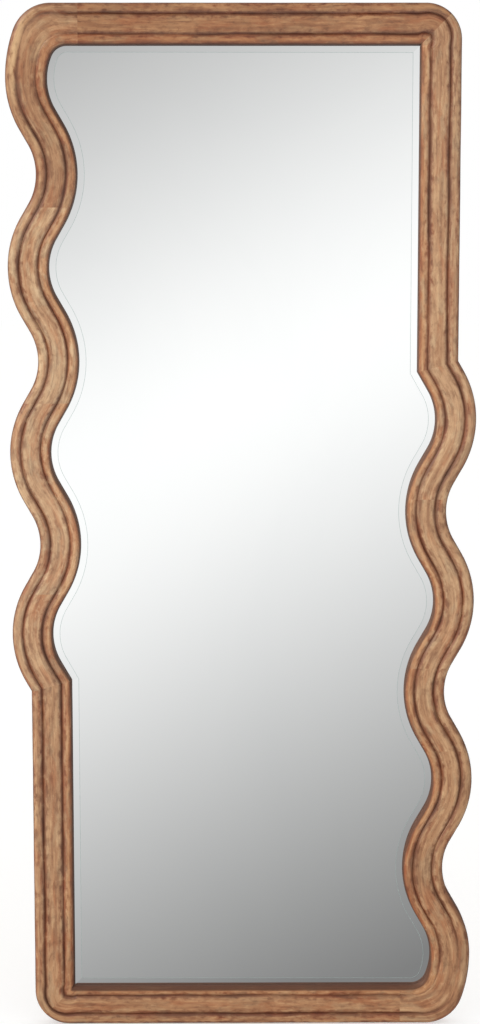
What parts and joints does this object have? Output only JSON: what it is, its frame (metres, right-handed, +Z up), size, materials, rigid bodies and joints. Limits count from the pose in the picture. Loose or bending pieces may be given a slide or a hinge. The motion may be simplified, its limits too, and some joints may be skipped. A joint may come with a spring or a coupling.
{
  "type": "wall mirror",
  "caption": "Tall mirror in a three-banded carved wood frame, wavy along half of each long side, with free-swinging hanging rings at the back.",
  "frame": {"origin": "under the middle of the bottom edge, half way through the depth", "axes": "+X to the right and +Z up for someone who looks into the glass; the front faces -Y and the wall is on +Y"},
  "size_m": [0.804, 0.04, 1.78],
  "materials": {
    "carved_wood": "hand carved, oiled and waxed to a dull satin",
    "beech_joinery": "bare",
    "silvered_glass": "polished, with a ground and polished bevel",
    "fibreboard": "smooth pressed board",
    "packing_foam": "closed-cell foam",
    "black_rubber": "matte",
    "zinc_steel": "bright zinc plated"
  },
  "bodies": {
    "frame": {"top_rail": "carved_wood", "right_stile": "carved_wood", "bottom_rail": "carved_wood", "left_stile": "carved_wood", "left_corner_block": "carved_wood", "left_wave_block_2": "carved_wood", "left_wave_block_3": "carved_wood", "left_wave_block_4": "carved_wood", "right_corner_block": "carved_wood", "right_wave_block_2": "carved_wood", "right_wave_block_3": "carved_wood", "right_wave_block_4": "carved_wood", "left_dowels": "beech_joinery", "right_dowels": "beech_joinery", "mitre_splines": "beech_joinery", "mirror_glass": "silvered_glass", "setting_blocks": "black_rubber", "filler_pads": "packing_foam", "backing_panel": "fibreboard", "panel_screws": "zinc_steel", "hanger_screws": "zinc_steel", "left_hanger_strap": "zinc_steel", "right_hanger_strap": "zinc_steel", "wall_bumpers": "black_rubber"},
    "left_ring": {"left_hanger_ring": "zinc_steel"},
    "right_ring": {"right_hanger_ring": "zinc_steel"}
  },
  "joints": [
    {"name": "left_ring_swing", "type": "hinge", "parent": "frame", "child": "left_ring", "pos_m": [-0.33, 0.01558, 1.4955], "axis": [1, 0, 0], "range_deg": [0, 174]},
    {"name": "right_ring_swing", "type": "hinge", "parent": "frame", "child": "right_ring", "pos_m": [0.348, 0.01558, 1.4955], "axis": [1, 0, 0], "range_deg": [0, 174]}
  ]
}
